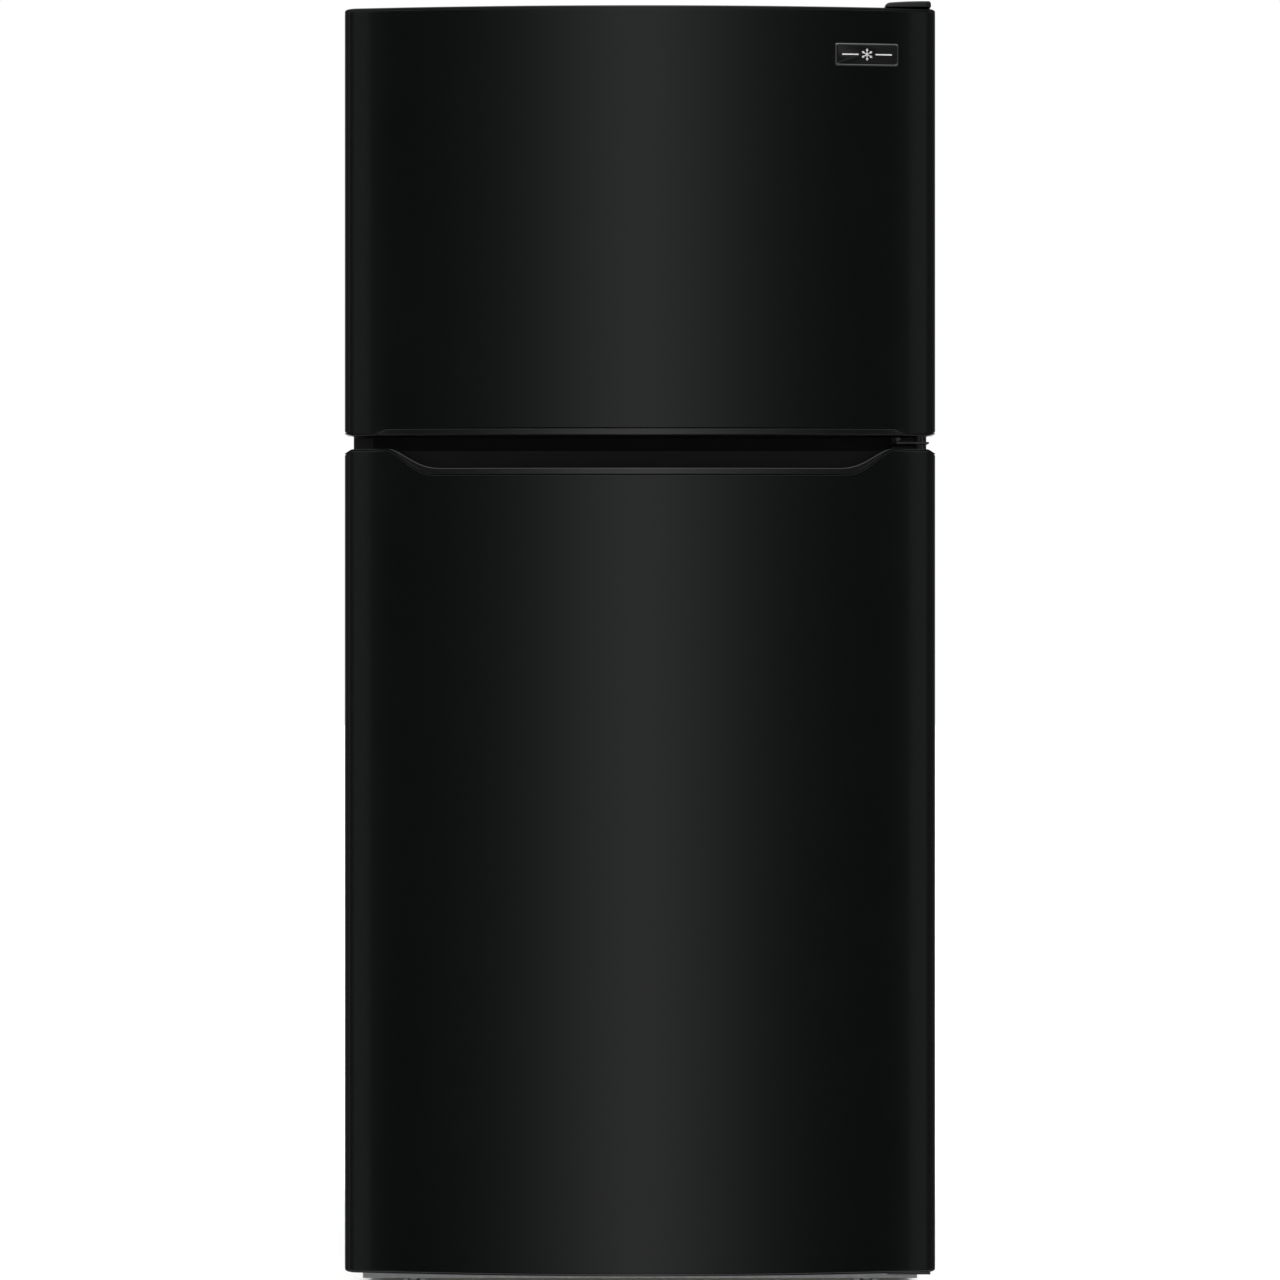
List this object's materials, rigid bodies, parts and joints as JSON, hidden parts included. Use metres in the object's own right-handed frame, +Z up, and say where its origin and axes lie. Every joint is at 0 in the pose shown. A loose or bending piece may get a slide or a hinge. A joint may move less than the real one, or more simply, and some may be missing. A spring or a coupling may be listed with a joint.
{
  "type": "top freezer refrigerator",
  "caption": "Upright top freezer refrigerator with bowed black steel doors, a pocket handle in the lower door, and a fitted interior with shelves, drawers, bins and cooling parts.",
  "frame": {"origin": "on the floor, under the middle of the object's bounding box", "axes": "+Z up, the doors face -Y, +X is the hinge side"},
  "size_m": [0.762, 0.77, 1.68],
  "materials": {
    "door_steel": "satin",
    "cabinet_steel": "satin",
    "black_steel": "satin",
    "rear_steel": "satin",
    "zinc_steel": "satin",
    "aluminium": "satin",
    "black_plastic": "satin",
    "badge_plastic": "gloss",
    "roller_plastic": "matte",
    "seal_rubber": "matte",
    "white_liner": "satin",
    "white_plastic": "satin",
    "white_enamel": "gloss",
    "clear_plastic": "gloss",
    "shelf_glass": "polished",
    "foam": "matte"
  },
  "bodies": {
    "cabinet": {"cabinet_shell": "cabinet_steel", "cabinet_foam": "foam", "back_panel": "rear_steel", "freezer_liner": "white_liner", "fridge_liner": "white_liner", "mullion_rail": "cabinet_steel", "base_frame": "zinc_steel", "compressor_tray": "zinc_steel", "toe_grille": "black_plastic", "top_hinge": "black_steel", "top_hinge_cover": "black_plastic", "centre_hinge": "black_steel", "bottom_hinge": "black_steel", "compressor": "black_steel", "condenser_coil": "black_steel", "condenser_fan_motor": "zinc_steel", "drain_pan": "black_plastic", "machine_cover": "black_plastic", "evaporator_coil": "aluminium", "evaporator_cover": "white_liner", "evaporator_fan_motor": "zinc_steel", "defrost_heater": "zinc_steel", "freezer_shelf": "white_enamel", "glass_shelf_upper": "shelf_glass", "glass_shelf_lower": "shelf_glass", "crisper_cover": "shelf_glass", "control_housing": "white_liner", "power_inlet": "black_plastic"},
    "freezer_door": {"freezer_door_skin": "door_steel", "freezer_door_foam": "foam", "freezer_door_liner": "white_liner", "freezer_door_top_cap": "black_plastic", "freezer_door_bottom_cap": "black_plastic", "freezer_door_gasket": "seal_rubber", "freezer_door_rack_upper": "white_liner", "freezer_door_rack_lower": "white_liner", "badge": "badge_plastic"},
    "fridge_door": {"fridge_door_skin": "door_steel", "fridge_door_foam": "foam", "fridge_door_liner": "white_liner", "fridge_door_handle_cap": "black_plastic", "fridge_door_bottom_cap": "black_plastic", "fridge_door_gasket": "seal_rubber", "door_bin_upper": "clear_plastic", "door_bin_lower": "clear_plastic"},
    "crisper_left": {"crisper_left": "clear_plastic"},
    "crisper_right": {"crisper_right": "clear_plastic"},
    "humidity_slider_left": {"humidity_slider_left": "white_plastic"},
    "humidity_slider_right": {"humidity_slider_right": "white_plastic"},
    "fridge_temperature_knob": {"fridge_temperature_knob": "white_plastic"},
    "freezer_temperature_knob": {"freezer_temperature_knob": "white_plastic"},
    "evaporator_fan": {"evaporator_fan": "white_plastic"},
    "condenser_fan": {"condenser_fan": "black_plastic"},
    "roller_front_left": {"roller_front_left": "roller_plastic"},
    "roller_front_right": {"roller_front_right": "roller_plastic"},
    "roller_rear_left": {"roller_rear_left": "roller_plastic"},
    "roller_rear_right": {"roller_rear_right": "roller_plastic"},
    "levelling_foot_left": {"levelling_foot_left": "zinc_steel"},
    "levelling_foot_right": {"levelling_foot_right": "zinc_steel"},
    "door_switch_plunger": {"door_switch_plunger": "white_plastic"}
  },
  "joints": [
    {"name": "freezer_door_hinge", "type": "hinge", "parent": "cabinet", "child": "freezer_door", "pos_m": [0.361, -0.342, 1.119], "axis": [0, 0, 1], "range_deg": [0, 130]},
    {"name": "fridge_door_hinge", "type": "hinge", "parent": "cabinet", "child": "fridge_door", "pos_m": [0.361, -0.342, 0.044], "axis": [0, 0, 1], "range_deg": [0, 130]},
    {"name": "crisper_left_slide", "type": "slide", "parent": "cabinet", "child": "crisper_left", "axis": [0, -1, 0], "range_m": [0, 0.075]},
    {"name": "crisper_right_slide", "type": "slide", "parent": "cabinet", "child": "crisper_right", "axis": [0, -1, 0], "range_m": [0, 0.075]},
    {"name": "humidity_slider_left_slide", "type": "slide", "parent": "cabinet", "child": "humidity_slider_left", "axis": [1, 0, 0], "range_m": [0, 0.03]},
    {"name": "humidity_slider_right_slide", "type": "slide", "parent": "cabinet", "child": "humidity_slider_right", "axis": [1, 0, 0], "range_m": [0, 0.03]},
    {"name": "fridge_temperature_turn", "type": "hinge", "parent": "cabinet", "child": "fridge_temperature_knob", "pos_m": [-0.075, -0.2455, 1.0405], "axis": [0, -1, 0], "range_deg": [-135, 135]},
    {"name": "freezer_temperature_turn", "type": "hinge", "parent": "cabinet", "child": "freezer_temperature_knob", "pos_m": [0.075, -0.2455, 1.0405], "axis": [0, -1, 0], "range_deg": [-135, 135]},
    {"name": "evaporator_fan_spin", "type": "hinge", "parent": "cabinet", "child": "evaporator_fan", "pos_m": [0, 0.258, 1.5], "axis": [0, 1, 0], "continuous": true},
    {"name": "condenser_fan_spin", "type": "hinge", "parent": "cabinet", "child": "condenser_fan", "pos_m": [-0.05, 0.262, 0.128], "axis": [1, 0, 0], "continuous": true},
    {"name": "door_switch_press", "type": "slide", "parent": "cabinet", "child": "door_switch_plunger", "axis": [0, -1, 0], "range_m": [0, 0.006]},
    {"name": "roller_front_left_turn", "type": "hinge", "parent": "cabinet", "child": "roller_front_left", "pos_m": [-0.341, -0.2, 0.02203], "axis": [1, 0, 0], "continuous": true},
    {"name": "roller_front_right_turn", "type": "hinge", "parent": "cabinet", "child": "roller_front_right", "pos_m": [0.341, -0.2, 0.02203], "axis": [1, 0, 0], "continuous": true},
    {"name": "roller_rear_left_turn", "type": "hinge", "parent": "cabinet", "child": "roller_rear_left", "pos_m": [-0.341, 0.33, 0.01983], "axis": [1, 0, 0], "continuous": true},
    {"name": "roller_rear_right_turn", "type": "hinge", "parent": "cabinet", "child": "roller_rear_right", "pos_m": [0.341, 0.33, 0.01983], "axis": [1, 0, 0], "continuous": true},
    {"name": "levelling_foot_left_turn", "type": "hinge", "parent": "cabinet", "child": "levelling_foot_left", "pos_m": [-0.3, -0.2525, 0.02], "axis": [0, 0, 1], "continuous": true},
    {"name": "levelling_foot_right_turn", "type": "hinge", "parent": "cabinet", "child": "levelling_foot_right", "pos_m": [0.3, -0.2525, 0.02], "axis": [0, 0, 1], "continuous": true}
  ],
  "couplings": [
    {"joint": "door_switch_press", "follows": "fridge_door_hinge", "m_per_rad": 0.0026}
  ]
}
